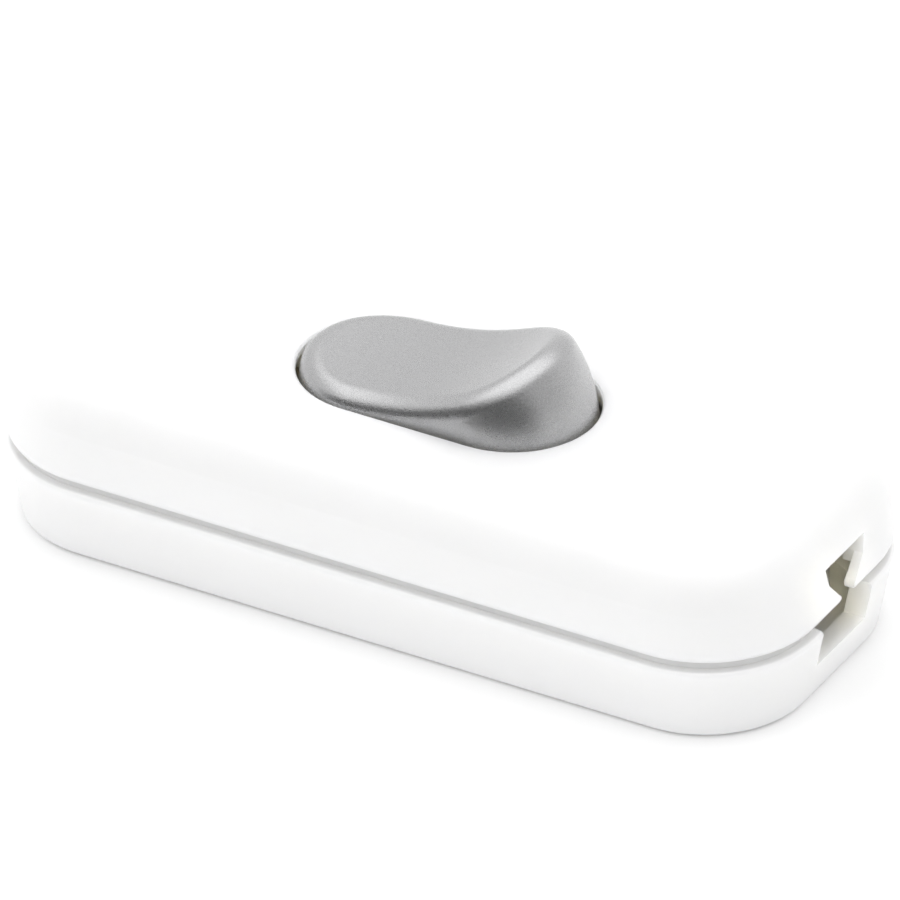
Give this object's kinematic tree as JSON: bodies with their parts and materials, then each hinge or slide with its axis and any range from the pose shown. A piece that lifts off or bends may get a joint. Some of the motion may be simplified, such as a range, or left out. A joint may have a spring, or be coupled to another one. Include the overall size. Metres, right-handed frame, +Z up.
{
  "type": "inline cord switch",
  "caption": "Oblong two-shell inline cord switch with a scooped rocker in its top and a cord entry in each end.",
  "frame": {"origin": "centre of the flat underside", "axes": "+X along the cord, +Y across, +Z up from the underside"},
  "size_m": [0.0718, 0.0304, 0.0224],
  "materials": {
    "white_plastic": "satin white moulding",
    "silver_paint": "silver metallic paint on plastic",
    "brass": "pressed and machined brass",
    "contact_silver": "silver contact rivet",
    "steel": "zinc plated",
    "clamp_plastic": "buff moulding",
    "pin_plastic": "natural nylon"
  },
  "bodies": {
    "housing": {"base_shell": "white_plastic", "cover_shell": "white_plastic", "earth_link": "brass", "earth_block_left": "brass", "earth_block_right": "brass", "live_line_strip": "brass", "live_load_strip": "brass", "live_line_block": "brass", "live_load_block": "brass", "neutral_line_strip": "brass", "neutral_load_strip": "brass", "neutral_line_block": "brass", "neutral_load_block": "brass", "live_fixed_contact": "contact_silver", "neutral_fixed_contact": "contact_silver", "housing_screws": "steel", "terminal_screws": "steel", "cord_clamp_screws": "steel", "cord_clamp_left": "clamp_plastic", "cord_clamp_right": "clamp_plastic"},
    "rocker": {"rocker": "silver_paint", "live_spring": "steel", "neutral_spring": "steel"},
    "live_lever": {"live_lever": "brass", "live_moving_contact": "contact_silver"},
    "live_plunger": {"live_plunger": "pin_plastic"},
    "neutral_lever": {"neutral_lever": "brass", "neutral_moving_contact": "contact_silver"},
    "neutral_plunger": {"neutral_plunger": "pin_plastic"}
  },
  "joints": [
    {"name": "rocker_pivot", "type": "hinge", "parent": "housing", "child": "rocker", "pos_m": [0, 0, 0.0143], "axis": [0, 1, 0], "range_deg": [0, 26]},
    {"name": "live_lever_tilt", "type": "hinge", "parent": "housing", "child": "live_lever", "pos_m": [0, -0.0042, 0.0055], "axis": [0, 1, 0], "range_deg": [-14, 0]},
    {"name": "live_plunger_slide", "type": "slide", "parent": "rocker", "child": "live_plunger", "axis": [0.225, 0, -0.9744], "range_m": [-0.0006, 0], "stiffness_N_per_m": 200, "springref_m": 0.0015, "deforming": ["live_spring"]},
    {"name": "neutral_lever_tilt", "type": "hinge", "parent": "housing", "child": "neutral_lever", "pos_m": [0, 0.0042, 0.0055], "axis": [0, 1, 0], "range_deg": [-14, 0]},
    {"name": "neutral_plunger_slide", "type": "slide", "parent": "rocker", "child": "neutral_plunger", "axis": [0.225, 0, -0.9744], "range_m": [-0.0006, 0], "stiffness_N_per_m": 200, "springref_m": 0.0015, "deforming": ["neutral_spring"]}
  ],
  "couplings": [
    {"joint": "live_lever_tilt", "follows": "rocker_pivot", "ratio": -0.53846},
    {"joint": "neutral_lever_tilt", "follows": "rocker_pivot", "ratio": -0.53846}
  ]
}
